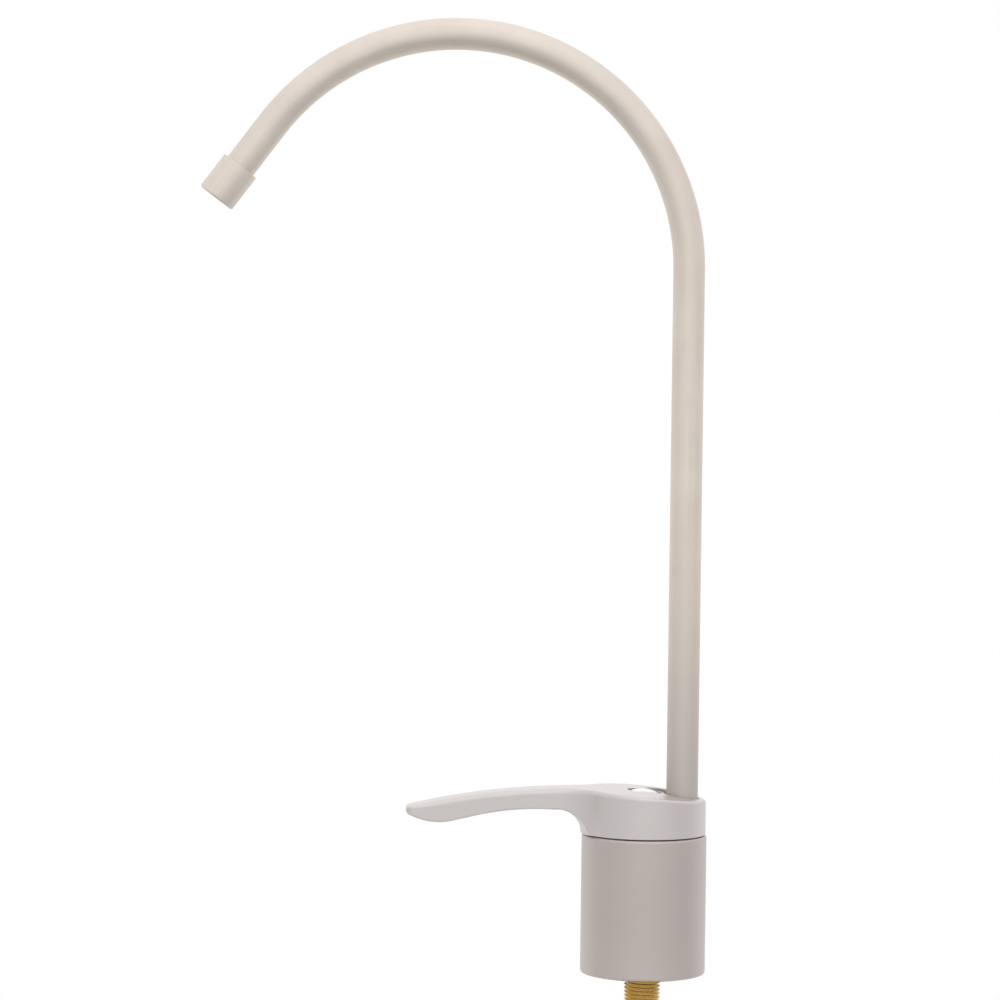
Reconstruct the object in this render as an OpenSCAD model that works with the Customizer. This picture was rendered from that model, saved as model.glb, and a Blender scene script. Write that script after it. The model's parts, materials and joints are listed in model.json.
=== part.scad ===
// Drinking water filter tap: round body, swinging lever collar and swivelling gooseneck spout.
// Sizes in mm. Origin on the worktop at the centre of the foot, +Z up, lever and outlet towards -Y.

/* [Body] */
// diameter of the round body
body_d = 45; // [43:0.5:60]
// height of the body above the worktop
body_h = 50.2; // [48:0.2:70]
// rounding of the foot edge
foot_round = 1.2; // [0.5:0.1:2.5]
// rounding of the top edge
top_round = 1; // [0.3:0.1:1.2]
// thickness of the ring in the seam under the collar
glide_h = 0.3; // [0.2:0.1:1]

/* [Spout] */
// outside diameter of the spout tube
tube_d = 11.4; // [9:0.1:12]
// wall of the spout tube
tube_wall = 1; // [0.8:0.05:1.3]
// distance of the spout axis from the back of the body
spout_inset = 9; // [8.5:0.1:9.3]
// straight length of the spout tube above the body
rise = 203.1; // [130:0.1:270]
// centreline radius of the bend
bend_r = 83.5; // [60:0.5:110]
// sweep of the bend in degrees
bend_sweep = 143; // [120:1:175]
// straight length between the bend and the nozzle
lead_len = 18.7; // [8:0.1:30]

/* [Nozzle] */
// outside diameter of the outlet nozzle
nozzle_d = 14.2; // [13:0.1:18]
// length of the outlet nozzle
nozzle_len = 14.5; // [13.5:0.1:20]
// rounding of the mouth edge
mouth_round = 0.8; // [0.3:0.1:1]

/* [Lever] */
// reach of the lever tip from the body axis
lever_reach = 86; // [74:1:110]
// height of the lever crown above the body
crown_rise = 16.7; // [15:0.1:18]
// distance of the crown in front of the body axis
crown_y = 24; // [18:0.5:30]
// radius of the long curve over collar and lever
top_r = 258; // [220:1:320]
// radius of the slight curve across the collar
side_r = 800; // [400:10:1200]
// width of the lever at its root
arm_w = 13; // [11:0.5:15]
// width of the lever near its tip
tip_w = 12; // [9:0.5:14]
// radius of the blend from lever to collar, seen from above
flare_r = 17; // [12:0.5:20]
// thickness of the lever at its root
root_thick = 7.6; // [6.8:0.1:8.6]
// swing of the lever in degrees, from shut to fully open
lever_swing = 60; // [60:5:90]
// diameter of the domed cap over the spindle
cap_d = 9.6; // [8:0.4:10.4]

/* [Valve] */
// diameter of the valve chamber
chamber_d = 18; // [17:0.5:19]
// thickness of each ceramic disc
disc_h = 3; // [2.5:0.25:3.25]
// diameter of the spindle
spindle_d = 8; // [7:0.25:8.5]

/* [Shank and clamp] */
// outside diameter of the shank thread
thread_d = 13.157; // [12.5:0.05:14]
// pitch of the shank thread
thread_pitch = 1.337; // [1:0.001:1.5]
// length of the shank below the worktop
shank_len = 60; // [54:1:80]
// thickness of the worktop that the clamp is set for
deck_t = 30; // [15:1:34]
// width of the lock nut across its flats
nut_af = 22; // [20:0.5:27]
// height of the lock nut
nut_h = 8; // [6:0.5:9]

/* [Hidden] */
$fn = 96;

// running gap between parts that turn
run_gap = 0.05;
// assembly gap between parts that stay still
fit_gap = 0.05;

// body and foot
body_r = body_d / 2;
gasket_inset = 4.5;
gasket_w = 3.5;
gasket_ro = body_r - gasket_inset;
gasket_ri = gasket_ro - gasket_w;
gasket_h = 1.6;
plug_r = 12;
plug_z = 1;
plug_top = 8;
key_r = 1.25;
key_at = 9;
key_deep = 3;

// valve stack, from the plug upwards
chamber_r = chamber_d / 2;
seal_h = 2;
fixed_z = plug_top + seal_h;
moving_z = fixed_z + disc_h;
driver_bite = 1;
driver_z = moving_z + disc_h - driver_bite;
driver_h = 5.5;
washer_h = 1.5;
washer_z = driver_z + driver_h;
chamber_top = washer_z + washer_h;
port_r = 2.4;
port_at = 5.2;
peg_r = 1;
peg_h = 3.3;
spindle_r = spindle_d / 2;
spindle_bore = spindle_r + run_gap;
driver_w = 6.5;
driver_l = chamber_d - 2.4;
disc_play = 0.2;
o_cord = 0.7;
o_slack = 0.03;
spindle_groove = spindle_bore - 2 * (o_cord + o_slack);
ring_step = 5.5;
ring_low = chamber_top + 8;
spindle_rings = [ring_low, ring_low + ring_step];
groove_w = 1.9;

// spout socket in the body
spout_y = body_r - spout_inset;
bend_z = body_h + rise;
tube_r = tube_d / 2;
tube_bore = tube_r - tube_wall;
bush_wall = 1.2;
bush_h = 9.8;
bush_seat_r = tube_r + run_gap + bush_wall + fit_gap;
socket_r = tube_r + run_gap;
bush_deep = 10;
spigot_deep = 14;
seat_z = body_h - bush_deep;
socket_z = seat_z - spigot_deep;
spigot_r = tube_r - 0.03;
spigot_in = 8;
spigot_bore = tube_bore - 1.25;
spigot_groove = socket_r - 2 * (o_cord + o_slack);
spigot_rings = [socket_z + 6, socket_z + 10.5];
clip_z = socket_z + 1.45;
clip_h = 1;
clip_ri = tube_r - 0.65;
clip_ro = tube_r + 0.55;
clip_play = 0.15;
clip_open = 60;
// the straight after the bend is a hair thinner and starts inside it
lead_step = 0.04;
lead_lap = 0.6;
drill_r = 3;
cross_r = 2.3;
cross_z = driver_z + 3.6;

// lever and collar
collar_step = 0.4;
collar_r = body_r - collar_step;
lever_z = body_h + glide_h + run_gap;
crown_z = body_h + crown_rise;
arc_z = crown_z - top_r;
top_at_axis = arc_z + sqrt(top_r * top_r - crown_y * crown_y);
hub_wall = 3.7;
hub_play = 0.2;
hub_top = top_at_axis - hub_wall;
spindle_top = hub_top - hub_play;
flat_cut = 0.8;
flat_y = spindle_r - flat_cut;
grub_z = lever_z + 3.5;
grub_r = 1.95;
grub_len = 6;
grub_key = 2;
key_hole = 2.5;
slot_gap = 0.6;
slot_w = tube_r + slot_gap;
slot_end = slot_w + 0.05;
tip_corner = 3;
cap_r = cap_d / 2;
cap_rise = 0.8;
cap_deep = 1.6;
cap_groove = 1.5;
groove_deep = 1;
cap_tilt = asin(crown_y / top_r);
// the dome's edge lies slightly below the collar's top
dome_h = cap_rise + 0.3;
dome_r = (cap_r * cap_r + dome_h * dome_h) / (2 * dome_h);

// underside of the lever, from its root outwards: cove, long hollow arc, belly and nose
hollow_lift = 0.1;
cove_r = crown_rise - root_thick - hollow_lift;
cove_foot = 0.4;
cove_at = body_r + cove_foot + cove_r;
hollow_r = 100;
hollow_from = 6.1;
hollow_y = -cove_at - hollow_from;
hollow_z = crown_z - root_thick - hollow_r;
hollow_to = -lever_reach + 26;
belly_r = 22;
belly_y = -lever_reach + 11.9;
belly_z = crown_z + 9.2;
belly_arc = [-77, -109];
nose = 0.9;
tip_low = crown_z - 10.1;

// blend circles that touch collar and lever side, set to bite in slightly
blend_bite = 0.05;
flare_x = arm_w / 2 + flare_r - blend_bite;
flare_to = collar_r + flare_r - blend_bite;
flare_y = -sqrt(flare_to * flare_to - flare_x * flare_x);

// nozzle stack along the flow
nozzle_r = nozzle_d / 2;
nozzle_bore = tube_r + 0.03;
nozzle_edge = 0.2;
tube_in = 6;
lip_h = 1.2;
lip_r = tube_r - 0.65;
insert_r = nozzle_bore - fit_gap;
nseal_h = 1.2;
screen_h = 0.5;
screen_at = tube_in + nseal_h;
straight_at = screen_at + screen_h;
straight_h = nozzle_len - lip_h - straight_at;
mesh_r = 0.45;
mesh_step = 1.35;
jet_r = 0.8;
jet_step = 2.1;

// shank and clamp
crest_r = thread_d / 2;
thread_deep = 0.64 * thread_pitch;
root_r = crest_r - thread_deep;
land = 0.15 * thread_pitch;
thread_end = 0.5;
turns = floor((shank_len - 1.2) / thread_pitch);
way_r = 3.5;
inlet_r = 4.46;
inlet_deep = 12;
soft_h = 3;
soft_r = 18;
stiff_h = 1.5;
stiff_r = 16.5;
clear_r = crest_r + 0.25;
nut_bore = crest_r + 0.07;
nut_chamfer = 1;
nut_bevel = 0.3;
// length by which a cutter runs past what it cuts
past = 1;

// points along an arc in the plane
function arc(c, r, a0, a1, n) =
  [for (i = [0:n]) let (a = a0 + (a1 - a0) * i / n) [c[0] + r * cos(a), c[1] + r * sin(a)]];

// flat ring between two radii
module ring(ri, ro, z, h) {
  translate([0, 0, z])
    difference() {
      cylinder(r = ro, h = h);
      translate([0, 0, -1])
        cylinder(r = ri, h = h + 2);
    }
}

// round cord ring
module cord(at, z) {
  translate([0, 0, z])
    rotate_extrude()
      translate([at, 0])
        circle(r = o_cord, $fn = 32);
}

// frame at the end of the bend, with its z along the flow
module at_bend_end() {
  translate([0, spout_y - bend_r, bend_z])
    rotate([bend_sweep, 0, 0])
      translate([0, bend_r, 0])
        children();
}

module at_nozzle(s) {
  at_bend_end()
    translate([0, 0, lead_len + s])
      children();
}

module at_spout() {
  translate([0, spout_y, 0])
    children();
}

// full round rod along the spout, longer by over at both ends
module spout_path(r, over) {
  at_spout()
    translate([0, 0, seat_z - over])
      cylinder(r = r, h = bend_z - seat_z + over);
  translate([0, spout_y - bend_r, bend_z])
    rotate([90, 0, 90])
      rotate_extrude(angle = bend_sweep)
        translate([bend_r, 0])
          circle(r = r);
  at_bend_end()
    translate([0, 0, -lead_lap])
      cylinder(r = r - lead_step, h = lead_len + tube_in + lead_lap + over);
}

module body_blank() {
  rotate_extrude()
    polygon(concat(
      [[0, 0]],
      arc([body_r - foot_round, foot_round], foot_round, -90, 0, 8),
      arc([body_r - top_round, body_h - top_round], top_round, 0, 90, 8),
      [[0, body_h]]
    ));
}

module tap_body() {
  color("#b9aea6")
    difference() {
      body_blank();
      translate([0, 0, -1])
        cylinder(r = plug_r + fit_gap, h = plug_top + 1);
      translate([0, 0, plug_top - 1])
        cylinder(r = chamber_r, h = chamber_top - plug_top + 1);
      translate([0, 0, chamber_top - 1])
        cylinder(r = spindle_bore, h = body_h);
      ring(gasket_ri - fit_gap, gasket_ro + fit_gap, -1, gasket_h + 1);
      at_spout() {
        translate([0, 0, seat_z])
          cylinder(r = bush_seat_r, h = bush_deep + past);
        translate([0, 0, socket_z])
          cylinder(r = socket_r, h = spigot_deep + past);
        translate([0, 0, clip_z - clip_play])
          cylinder(r = clip_ro + clip_play, h = clip_h + 2 * clip_play);
        translate([0, 0, cross_z - drill_r])
          cylinder(r = drill_r, h = socket_z - cross_z + drill_r + 1);
      }
      translate([0, spout_y, cross_z])
        rotate([90, 0, 0])
          cylinder(r = cross_r, h = spout_y - spindle_r);
    }
}

module threaded_shank() {
  flank = thread_pitch / 2 - land;
  ridges = [
    for (i = [0:turns - 1])
      for (p = [
        [root_r, -i * thread_pitch],
        [crest_r, -i * thread_pitch - flank],
        [crest_r, -i * thread_pitch - flank - land],
        [root_r, -i * thread_pitch - 2 * flank - land]
      ]) p
  ];
  color("#c9a24f") {
    difference() {
      union() {
        rotate_extrude()
          polygon(concat(
            [[0, plug_z + 1], [root_r, plug_z + 1]],
            ridges,
            [[root_r, thread_end - shank_len], [root_r - thread_end, -shank_len], [0, -shank_len]]
          ));
        translate([0, 0, plug_z])
          cylinder(r = plug_r, h = plug_top - plug_z);
        for (s = [-1, 1])
          translate([0, s * port_at, plug_top - 1])
            cylinder(r = peg_r, h = peg_h + 1);
      }
      translate([0, 0, -shank_len - 1])
        cylinder(r = way_r, h = shank_len + plug_top + 2 * past);
      translate([0, 0, -shank_len - 1])
        cylinder(r = inlet_r, h = inlet_deep + 1);
      for (s = [-1, 1])
        translate([s * key_at, 0, plug_z - past])
          cylinder(r = key_r, h = key_deep + past);
    }
  }
}

module base_gasket() {
  color("#26262a")
    ring(gasket_ri, gasket_ro, 0, gasket_h);
}

module inlet_seal() {
  color("#2b2b2e")
    ring(chamber_r - 1.75, chamber_r - 0.3, plug_top, seal_h);
}

// ceramic disc with two ports
module disc(r, z, turn) {
  difference() {
    translate([0, 0, z])
      cylinder(r = r, h = disc_h);
    rotate([0, 0, turn])
      for (s = [-1, 1])
        translate([s * port_at, 0, z - 1])
          cylinder(r = port_r, h = disc_h + 2);
  }
}

module fixed_disc() {
  color("#e8e4da")
    difference() {
      disc(chamber_r - disc_play, fixed_z, 90 - lever_swing);
      for (s = [-1, 1])
        translate([0, s * port_at, fixed_z - 1])
          cylinder(r = peg_r + fit_gap, h = peg_h - seal_h + 1.1);
    }
}

module moving_disc() {
  color("#f0ede4")
    difference() {
      disc(chamber_r - 2 * disc_play, moving_z, 90);
      translate([-chamber_d, -driver_w / 2 - fit_gap, driver_z])
        cube([2 * chamber_d, driver_w + 2 * fit_gap, disc_h]);
    }
}

module spindle() {
  color("#c7a55c")
    difference() {
      union() {
        translate([-driver_l / 2, -driver_w / 2, driver_z])
          cube([driver_l, driver_w, driver_h]);
        translate([0, 0, driver_z + 1])
          cylinder(r = spindle_r, h = spindle_top - driver_z - 1);
      }
      for (z = spindle_rings)
        ring(spindle_groove, spindle_r + 1, z - groove_w / 2, groove_w);
      translate([-spindle_r, -flat_y - 2 * spindle_r, body_h + 0.3])
        cube([2 * spindle_r, 2 * spindle_r, crown_rise + 10]);
    }
}

module spindle_o_rings() {
  color("#202022")
    for (z = spindle_rings)
      cord(spindle_bore - o_slack - o_cord, z);
}

module thrust_washer() {
  color("#ddd9cf")
    ring(spindle_bore + 0.1, chamber_r - 0.3, washer_z, washer_h);
}

module glide_ring() {
  color("#2e2c2b")
    ring(spout_y + slot_w, body_r - top_round, body_h, glide_h);
}

// outline of the lever and its blends, seen from above
module arm_plan() {
  root_y = flare_y + 2;
  edge = concat(
    [[0, root_y], [arm_w / 2, root_y]],
    arc([tip_w / 2 - tip_corner, tip_corner - lever_reach], tip_corner, 0, -90, 6),
    [[0, -lever_reach]]
  );
  for (s = [0, 1])
    mirror([s, 0]) {
      polygon(edge);
      difference() {
        polygon([[0, 0], [0, flare_y], [flare_x, flare_y]]);
        translate([flare_x, flare_y])
          circle(r = flare_r);
      }
    }
}

// side outline of the lever below its crown
module arm_side() {
  up = crown_z + crown_rise;
  inner = -body_r / 2;
  a0 = acos(hollow_from / hollow_r);
  a1 = acos((hollow_to - hollow_y) / hollow_r);
  polygon(concat(
    [[inner, up], [inner, lever_z], [-cove_at, lever_z]],
    arc([hollow_y, hollow_z], hollow_r, a0, a1, 20),
    arc([belly_y, belly_z], belly_r, belly_arc[0], belly_arc[1], 10),
    [[nose - lever_reach, tip_low], [-lever_reach, tip_low + nose], [-lever_reach, up]]
  ));
}

// cove under the lever root, which runs round the collar
module cove() {
  translate([0, 0, body_h])
    rotate_extrude()
      translate([cove_at, 0])
        circle(r = cove_r);
}

// crowned top of collar and lever: the long curve, turned about an axis far below it
module crown_form() {
  translate([0, -crown_y, crown_z - side_r])
    rotate([90, 0, 0])
      rotate_extrude($fn = 360)
        intersection() {
          translate([side_r - top_r, 0])
            circle(r = top_r, $fn = 360);
          translate([0, -lever_reach])
            square([side_r + past, 2 * lever_reach]);
        }
}

module lever_blank() {
  tall = 2 * crown_rise;
  intersection() {
    crown_form();
    union() {
      translate([0, 0, lever_z])
        cylinder(r = collar_r, h = tall);
      difference() {
        intersection() {
          translate([0, 0, lever_z])
            linear_extrude(height = tall)
              arm_plan();
          translate([-body_d, 0, 0])
            rotate([90, 0, 90])
              linear_extrude(height = 2 * body_d)
                arm_side();
        }
        cove();
      }
    }
  }
}

// curved slot that lets the lever swing past the spout
module spout_slot() {
  tall = 2 * crown_rise;
  translate([0, 0, body_h]) {
    rotate([0, 0, 90])
      rotate_extrude(angle = lever_swing)
        translate([spout_y - slot_w, 0])
          square([2 * slot_w, tall]);
    for (a = [0, lever_swing])
      rotate([0, 0, a])
        translate([0, spout_y, 0])
          cylinder(r = slot_end, h = tall);
  }
}

module hub_bore() {
  difference() {
    translate([0, 0, body_h])
      cylinder(r = spindle_bore, h = hub_top - body_h);
    translate([-spindle_d, -flat_y - fit_gap - spindle_d, body_h - 1])
      cube([2 * spindle_d, spindle_d, crown_rise]);
  }
}

// frame on the top above the spindle, with its z square to the surface
module at_cap() {
  translate([0, 0, top_at_axis])
    rotate([-cap_tilt, 0, 0])
      children();
}

module lever_handle() {
  color("#c4bab2")
    difference() {
      lever_blank();
      spout_slot();
      hub_bore();
      at_cap() {
        translate([0, 0, -cap_deep])
          cylinder(r = cap_r + fit_gap, h = cap_deep + crown_rise);
        translate([0, 0, -groove_deep])
          cylinder(r = cap_r + cap_groove, h = groove_deep + crown_rise);
      }
      translate([0, 0, grub_z])
        rotate([90, 0, 0])
          cylinder(r = grub_r + fit_gap, h = cove_at);
    }
}

module lever_grub_screw() {
  color("#4a4a4e")
    translate([0, -flat_y, grub_z])
      rotate([90, 0, 0])
        difference() {
          cylinder(r = grub_r, h = grub_len);
          translate([0, 0, grub_len - key_hole])
            cylinder(r = grub_key / 2 / cos(30), h = key_hole + past, $fn = 6);
        }
}

module hub_cap() {
  color("#cfc8c2")
    at_cap()
      intersection() {
        translate([0, 0, -cap_deep])
          cylinder(r = cap_r, h = cap_deep + cap_rise);
        translate([0, 0, cap_rise - dome_r])
          sphere(r = dome_r);
      }
}

module spout_tube() {
  color("#c2b8b0")
    difference() {
      spout_path(tube_r, 0);
      spout_path(tube_bore, 1);
    }
}

module spout_spigot() {
  low = socket_z + run_gap;
  color("#c9a75e")
    at_spout()
      difference() {
        union() {
          translate([0, 0, low])
            cylinder(r = spigot_r, h = seat_z - low);
          translate([0, 0, seat_z - past])
            cylinder(r = tube_bore - fit_gap, h = spigot_in + past);
        }
        translate([0, 0, low - past])
          cylinder(r = spigot_bore, h = spigot_deep + spigot_in + 2 * past);
        for (z = spigot_rings)
          ring(spigot_groove, spigot_r + 1, z - groove_w / 2, groove_w);
        ring(clip_ri - clip_play, spigot_r + past, clip_z - clip_play, clip_h + 2 * clip_play);
      }
}

module spout_o_rings() {
  color("#202022")
    at_spout()
      for (z = spigot_rings)
        cord(socket_r - o_slack - o_cord, z);
}

module spout_bush() {
  color("#e6e2d8")
    at_spout()
      ring(tube_r + run_gap, bush_seat_r - fit_gap, seat_z, bush_h);
}

module spout_clip() {
  color("#8d9094")
    at_spout()
      translate([0, 0, clip_z])
        rotate([0, 0, 90 + clip_open / 2])
          rotate_extrude(angle = 360 - clip_open)
            translate([clip_ri, 0])
              square([clip_ro - clip_ri, clip_h]);
}

module outlet_nozzle() {
  color("#bdb2aa")
    at_nozzle(0)
      rotate_extrude()
        polygon(concat(
          [[nozzle_bore, 0], [nozzle_r - nozzle_edge, 0], [nozzle_r, nozzle_edge]],
          arc([nozzle_r - mouth_round, nozzle_len - mouth_round], mouth_round, 0, 90, 6),
          [[lip_r, nozzle_len], [lip_r, nozzle_len - lip_h], [nozzle_bore, nozzle_len - lip_h]]
        ));
}

module nozzle_seal() {
  color("#2b2b2e")
    at_nozzle(0)
      ring(tube_bore - 0.3, insert_r, tube_in, nseal_h);
}

// round holes on a triangular grid, within a limit radius
module holes(r, step, limit, h) {
  for (i = [-6:6])
    for (j = [-6:6]) {
      x = step * (i + j / 2);
      y = step * j * sin(60);
      if (norm([x, y]) + r < limit)
        translate([x, y, -1])
          cylinder(r = r, h = h + 2, $fn = 24);
    }
}

module outlet_screen() {
  color("#a8abae")
    at_nozzle(screen_at)
      difference() {
        cylinder(r = insert_r, h = screen_h);
        holes(mesh_r, mesh_step, tube_bore, screen_h);
      }
}

module flow_straightener() {
  color("#dedad2")
    at_nozzle(straight_at)
      difference() {
        cylinder(r = insert_r, h = straight_h);
        holes(jet_r, jet_step, lip_r, straight_h);
      }
}

module deck_washer_rubber() {
  color("#29292c")
    ring(clear_r, soft_r, -deck_t - soft_h, soft_h);
}

module deck_washer_steel() {
  color("#9da1a5")
    ring(clear_r, stiff_r, -deck_t - soft_h - stiff_h, stiff_h);
}

module lock_nut() {
  corner_r = nut_af / 2 / cos(30);
  wide = corner_r + past;
  flat_r = nut_af / 2 - nut_bevel;
  low = -deck_t - soft_h - stiff_h - nut_h;
  color("#c8a455")
    translate([0, 0, low])
      difference() {
        intersection() {
          cylinder(r = corner_r, h = nut_h, $fn = 6);
          rotate_extrude()
            polygon([
              [0, 0], [flat_r, 0], [wide, nut_chamfer],
              [wide, nut_h - nut_chamfer], [flat_r, nut_h], [0, nut_h]
            ]);
        }
        translate([0, 0, -1])
          cylinder(r = nut_bore, h = nut_h + 2);
      }
}

tap_body();
threaded_shank();
base_gasket();
inlet_seal();
fixed_disc();
moving_disc();
spindle();
spindle_o_rings();
thrust_washer();
glide_ring();
lever_handle();
lever_grub_screw();
hub_cap();
spout_tube();
spout_spigot();
spout_o_rings();
spout_bush();
spout_clip();
outlet_nozzle();
nozzle_seal();
outlet_screen();
flow_straightener();
deck_washer_rubber();
deck_washer_steel();
lock_nut();
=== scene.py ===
# %% [markdown]
# # Drinking water filter tap
# A deck tap in satin nickel: a turned body, a cast lever with its collar, a bent spout tube with
# a nozzle, and a brass shank below the worktop. All of it could be modelled here, but the CAD
# frame already holds each piece as an exact solid in its place. So this script loads the frame,
# gives the solids their finishes, and makes finer meshes only for the four pieces whose curves
# or threads catch the light. Each cell uses what the cells before it made.

# %% Load the CAD frame
import json
import math

import bmesh
import bpy
import numpy as np
from mathutils import Matrix, Vector
from mathutils.geometry import delaunay_2d_cdt


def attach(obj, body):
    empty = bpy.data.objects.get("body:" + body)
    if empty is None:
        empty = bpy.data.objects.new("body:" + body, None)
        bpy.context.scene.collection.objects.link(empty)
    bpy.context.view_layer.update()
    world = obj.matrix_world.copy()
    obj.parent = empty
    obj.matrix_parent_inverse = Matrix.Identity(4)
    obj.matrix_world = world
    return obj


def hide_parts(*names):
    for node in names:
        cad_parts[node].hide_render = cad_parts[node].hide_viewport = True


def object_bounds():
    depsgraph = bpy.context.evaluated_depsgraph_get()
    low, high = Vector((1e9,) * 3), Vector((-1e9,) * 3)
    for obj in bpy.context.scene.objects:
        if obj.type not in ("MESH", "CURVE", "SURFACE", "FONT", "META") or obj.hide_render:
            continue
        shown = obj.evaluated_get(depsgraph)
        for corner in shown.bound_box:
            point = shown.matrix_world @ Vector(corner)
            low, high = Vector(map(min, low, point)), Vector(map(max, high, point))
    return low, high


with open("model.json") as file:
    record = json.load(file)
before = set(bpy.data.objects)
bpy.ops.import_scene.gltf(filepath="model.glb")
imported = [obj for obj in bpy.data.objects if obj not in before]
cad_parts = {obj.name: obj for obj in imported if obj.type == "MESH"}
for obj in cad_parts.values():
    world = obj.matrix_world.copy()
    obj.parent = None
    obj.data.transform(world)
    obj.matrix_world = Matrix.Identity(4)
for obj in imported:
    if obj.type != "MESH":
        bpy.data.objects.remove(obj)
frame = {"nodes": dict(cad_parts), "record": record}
cad_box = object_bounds()
print("nodes:", len(frame["nodes"]), "box:", [list(v) for v in cad_box])

# %% [markdown]
# ## Finishes
# A colour picked from a screen is an sRGB code, but shaders reckon in linear light. One function
# turns a code into linear values, so every colour below is written as it looks. A node could be
# added, set and linked over many lines. One function that takes a node's kind, its inputs and its
# settings keeps the whole node in one call, and a recipe can then be read from top to bottom.

# %% Colour and node helpers
MM = 0.001  # metres


def linear(code):
    """Linear colour of an sRGB code such as #cac1bd."""
    rgb = [int(code[i:i + 2], 16) / 255 for i in (1, 3, 5)]
    return [c / 12.92 if c <= 0.04045 else ((c + 0.055) / 1.055) ** 2.4 for c in rgb] + [1.0]


def add(tree, kind, inputs=None, **settings):
    """Adds a node; each input is a value or the socket that feeds it."""
    made = tree.nodes.new(kind)
    for key, value in settings.items():
        setattr(made, key, value)
    for key, value in (inputs or {}).items():
        if isinstance(value, bpy.types.NodeSocket):
            tree.links.new(value, made.inputs[key])
        else:
            made.inputs[key].default_value = value
    return made


print("middle grey in linear light:", round(linear("#808080")[0], 3))

# %% [markdown]
# ### Grain
# No real surface is one flat tone. Brush, sand or mould leave a fine grain, and over a centimetre
# or two the plating drifts a little. A painted image could carry both, but the mesh would have to
# be unwrapped first. Noise needs no unwrapping and stays sharp from any distance. The grain's
# length along x, y and z is given in millimetres. Object coordinates are metres, so the noise's
# scale is one over that length. Brushed metal is long along the brush and short across it, and
# moulded plastic is even.
#
# A pixel of the picture covers about 0.36 mm of the tap, while real brush lines and grit are only
# 0.01 to 0.05 mm wide. So all grains below are drawn coarser, as coarse as each needs to show.

# %% Grain nodes
PATCH = 16  # mm, size of the slow drift
SHARE = 0.5  # of the fine grain in the drift of the tone


def grain_nodes(tree, grain, layout):
    """Adds a grain given in mm; returns its fine part, and its mix with the slow drift."""
    if layout:
        place = add(tree, "ShaderNodeAttribute", attribute_name=layout).outputs["Vector"]
    else:
        place = add(tree, "ShaderNodeTexCoord").outputs["Object"]
    scale = [1 / (length * MM) for length in grain]
    stretch = add(tree, "ShaderNodeMapping", {"Vector": place, "Scale": scale}).outputs[0]
    close = {"Vector": stretch, "Scale": 1.0, "Detail": 3.0}
    fine = add(tree, "ShaderNodeTexNoise", close).outputs["Fac"]
    slow = {"Vector": place, "Scale": 1 / (PATCH * MM), "Detail": 2.0}
    cloud = add(tree, "ShaderNodeTexNoise", slow).outputs["Fac"]
    drift = add(tree, "ShaderNodeMix", {"Factor": SHARE, "A": cloud, "B": fine})
    return fine, drift.outputs["Result"]


print("slow drift:", PATCH, "mm, noise scale", round(1 / (PATCH * MM), 1))

# %% [markdown]
# ### One recipe for every finish
# Each finish could have a node tree of its own. They all do the same three things, though: the
# grain shifts the colour between two close tones, shifts the roughness, and raises a low relief.
# One recipe fed with their values makes the finishes easy to compare. A metal keeps the default
# IOR, and the other materials get the usual one of their kind.

# %% Finish recipe
DEPTH = 0.02  # mm, height of the relief
finishes = {}


def finish(name, light, dark, metal, rough, spread, grain, relief, layout=None, ior=None):
    """Makes a material whose roughness is rough, give or take spread, with a grain in mm."""
    mat = bpy.data.materials.new(name)
    mat.use_nodes = True
    tree = mat.node_tree
    fine, drift = grain_nodes(tree, grain, layout)
    tones = {"Factor": drift, "A": linear(dark), "B": linear(light)}
    tone = add(tree, "ShaderNodeMix", tones, data_type="RGBA")
    limits = {"Value": fine, "To Min": rough - spread, "To Max": rough + spread}
    level = add(tree, "ShaderNodeMapRange", limits)
    bump = add(tree, "ShaderNodeBump", {"Height": fine, "Strength": relief, "Distance": DEPTH * MM})
    shader = tree.nodes["Principled BSDF"]
    tree.links.new(tone.outputs["Result"], shader.inputs["Base Color"])
    tree.links.new(level.outputs[0], shader.inputs["Roughness"])
    tree.links.new(bump.outputs[0], shader.inputs["Normal"])
    shader.inputs["Metallic"].default_value = metal
    if ior:
        shader.inputs["IOR"].default_value = ior
    finishes[name] = mat
    return mat


print("relief of the grain:", DEPTH, "mm")

# %% [markdown]
# ### Satin nickel
# Nickel plate is a warm grey, and brushing under it makes it satin. The body was turned and
# brushed on the lathe, so its lines run round it. The lever was cast and linished along its
# length. The tube was brushed along its length before it was bent. The small cap over the spindle
# is polished. One nickel for all would be simpler, but the real pieces differ in tone and in the
# way of their lines. An anisotropic shader could spread the highlights along the lines. Relief
# with a middling roughness does so too, and also shows from close by.

# %% Plated metals
# Brass, turned, brushed round and plated: broad upright highlights and faint lines round it.
finish("body_nickel", "#cac1bd", "#beb5b1", 1.0, 0.44, 0.05, (2.5, 2.5, 0.11), 0.25)
# Zinc casting, linished and plated: a little paler than the body, with a soft even sheen.
finish("lever_nickel", "#d8d2d1", "#cec8c7", 1.0, 0.44, 0.05, (0.17, 2.0, 0.17), 0.2)
# Drawn tube, brushed and plated: the palest and most matt, with streaks along it. The streaks
# are 40 mm long, and 1 mm wide rather than 0.05 mm, so that they show on so thin a tube.
spout_plate = finish("spout_nickel", "#f0e7de", "#d6ccc2", 1.0, 0.6, 0.05, (1.0, 1.0, 40), 0.2,
                     layout="unbent")
# Polished nickel: a small clear glint.
finish("cap_nickel", "#e2dfdc", "#dbd7d3", 1.0, 0.16, 0.03, (1.1, 1.1, 1.1), 0.05)
print("plated:", ", ".join(finishes))
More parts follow.
